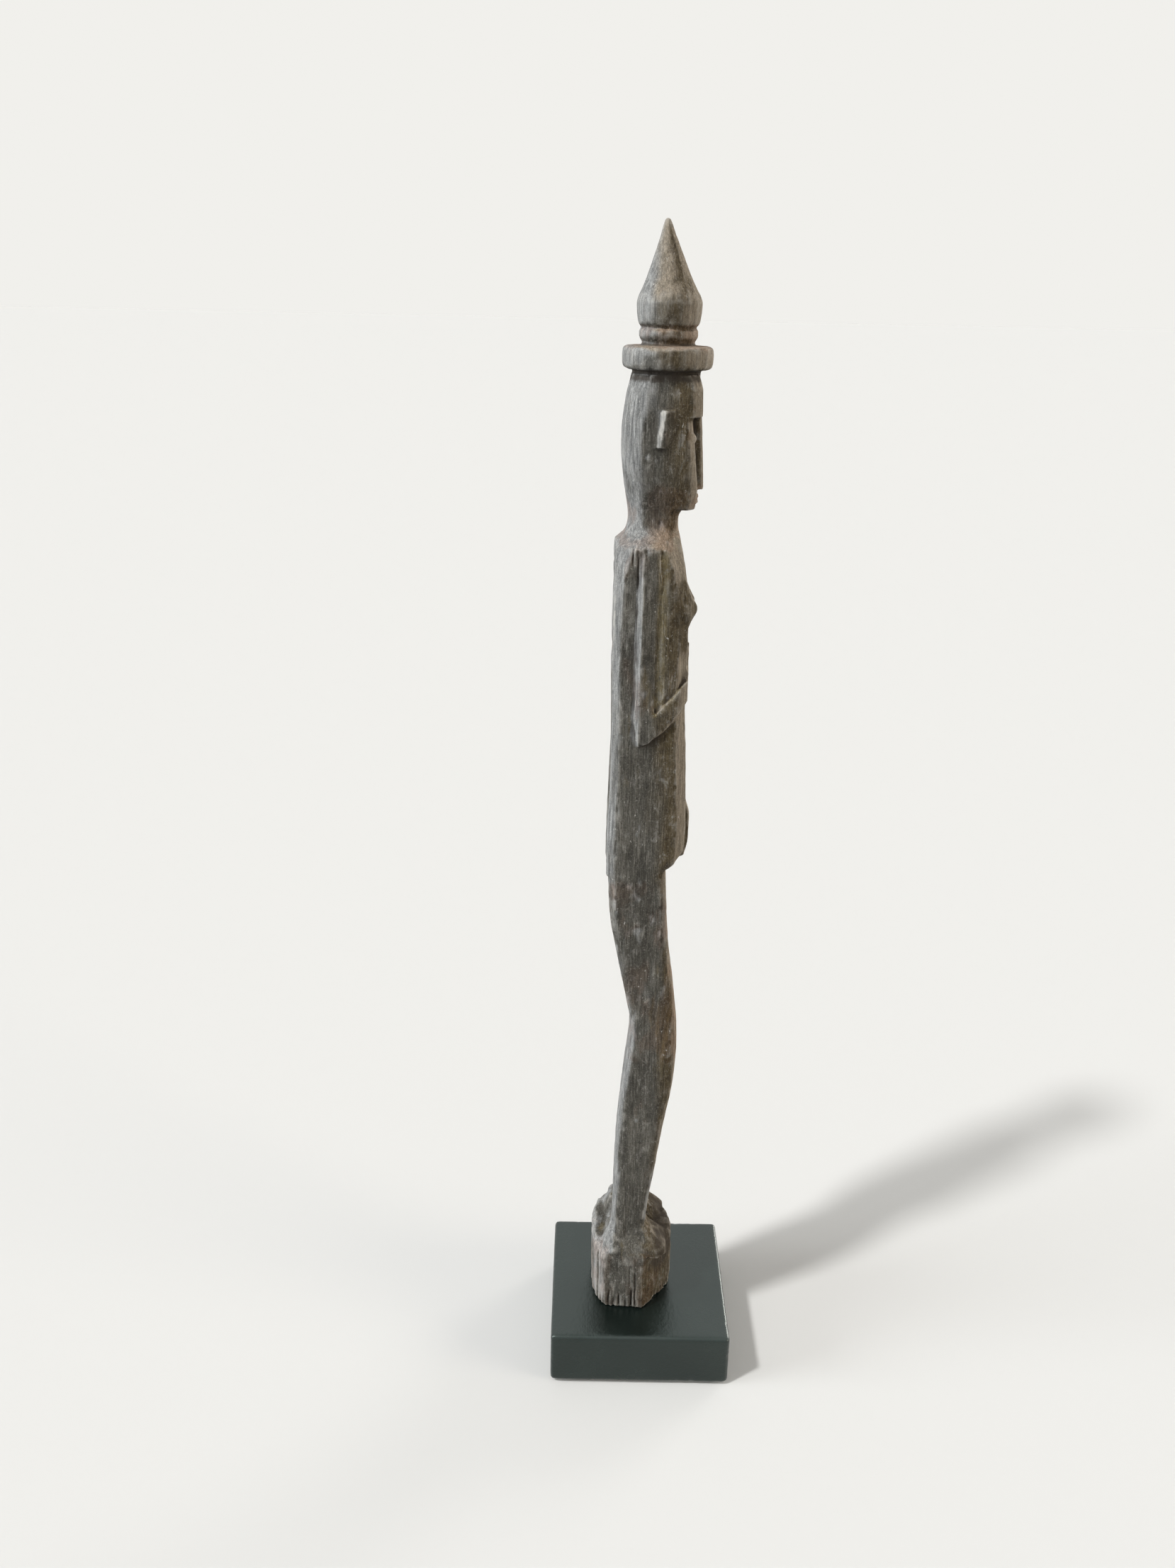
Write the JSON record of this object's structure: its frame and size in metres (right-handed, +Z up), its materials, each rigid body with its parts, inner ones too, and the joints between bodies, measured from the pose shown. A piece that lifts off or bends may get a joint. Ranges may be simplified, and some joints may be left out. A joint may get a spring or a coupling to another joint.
{
  "type": "carved ancestor figure",
  "caption": "Slender carved wooden standing figure with a pointed headdress, on a square painted display block with felt pads.",
  "frame": {"origin": "on the ground under the centre of the display block", "axes": "+Z up along the figure; the figure faces -Y and its right side is at -X"},
  "size_m": [0.1, 0.1, 0.6094],
  "materials": {
    "carved_wood": "dry weathered grey-brown wood with a worn patina",
    "painted_block": "satin black paint over wood, worn at the bottom edges",
    "screw_steel": "zinc plated",
    "dark_felt": "dark wool felt"
  },
  "bodies": {
    "root": {"carved_figure": "carved_wood", "mounting_block": "painted_block", "wood_screw_left": "screw_steel", "wood_screw_right": "screw_steel", "screw_washer_left": "screw_steel", "screw_washer_right": "screw_steel", "felt_pad_1": "dark_felt", "felt_pad_2": "dark_felt", "felt_pad_3": "dark_felt", "felt_pad_4": "dark_felt"}
  },
  "joints": []
}
